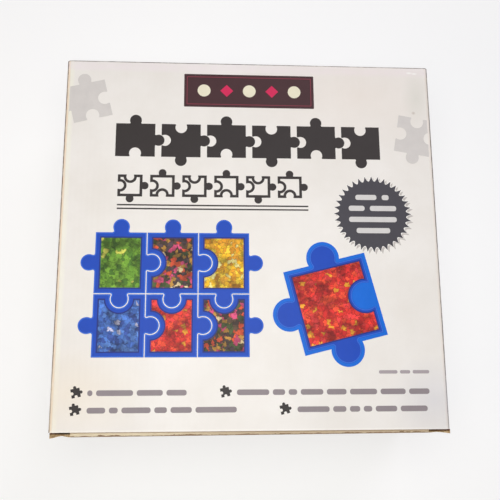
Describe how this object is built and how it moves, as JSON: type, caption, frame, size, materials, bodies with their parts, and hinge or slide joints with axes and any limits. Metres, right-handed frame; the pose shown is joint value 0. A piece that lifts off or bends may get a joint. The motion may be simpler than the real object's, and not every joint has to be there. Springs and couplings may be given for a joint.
{
  "type": "printed retail carton for jigsaw sorting trays",
  "caption": "Square straight-tuck-end carton with a printed front panel and hinged end flaps, holding a nested stack of jigsaw-shaped sorting trays under a lid.",
  "frame": {"origin": "middle of the back panel's outer face, on the surface the carton lies on", "axes": "+X to the right of the printed front, +Y to its top, +Z out of the printed front, which faces up"},
  "size_m": [0.21, 0.21, 0.0921],
  "materials": {
    "coated_board": "satin",
    "tray_plastic": "satin",
    "ink_plum": "satin",
    "ink_cream": "satin",
    "ink_crimson": "satin",
    "ink_charcoal": "satin",
    "ink_slate": "satin",
    "ink_white": "satin",
    "ink_royal_blue": "satin",
    "ink_bright_blue": "satin",
    "ink_green": "satin",
    "ink_mixed_dark": "satin",
    "ink_yellow": "satin",
    "ink_mid_blue": "satin",
    "ink_red": "satin",
    "ink_grey_violet": "satin",
    "ink_pale_violet": "satin",
    "ink_pale_grey": "satin"
  },
  "bodies": {
    "carton": {"carton_sleeve": "coated_board", "sorting_tray_1": "tray_plastic", "sorting_tray_2": "tray_plastic", "sorting_tray_3": "tray_plastic", "sorting_tray_4": "tray_plastic", "sorting_tray_5": "tray_plastic", "sorting_tray_6": "tray_plastic", "storage_lid": "tray_plastic", "print_label": "ink_plum", "print_label_discs": "ink_cream", "print_label_diamonds": "ink_crimson", "print_heading_pieces": "ink_charcoal", "print_line_pieces": "ink_charcoal", "print_rules": "ink_charcoal", "print_badge": "ink_slate", "print_badge_bars": "ink_white", "print_blue_frames": "ink_royal_blue", "print_stack_band": "ink_bright_blue", "print_green_field": "ink_green", "print_dark_fields": "ink_mixed_dark", "print_yellow_field": "ink_yellow", "print_blue_field": "ink_mid_blue", "print_red_fields": "ink_red", "print_icons": "ink_charcoal", "print_word_bars": "ink_grey_violet", "print_note_bars": "ink_pale_violet", "print_pale_pieces": "ink_pale_grey"},
    "bottom_flap": {"bottom_tuck_flap": "coated_board"},
    "top_flap": {"top_tuck_flap": "coated_board"}
  },
  "joints": [
    {"name": "bottom_flap_hinge", "type": "hinge", "parent": "carton", "child": "bottom_flap", "pos_m": [0, -0.105, 0], "axis": [1, 0, 0], "range_deg": [0, 90]},
    {"name": "top_flap_hinge", "type": "hinge", "parent": "carton", "child": "top_flap", "pos_m": [0, 0.105, 0], "axis": [-1, 0, 0], "range_deg": [0, 90]}
  ]
}
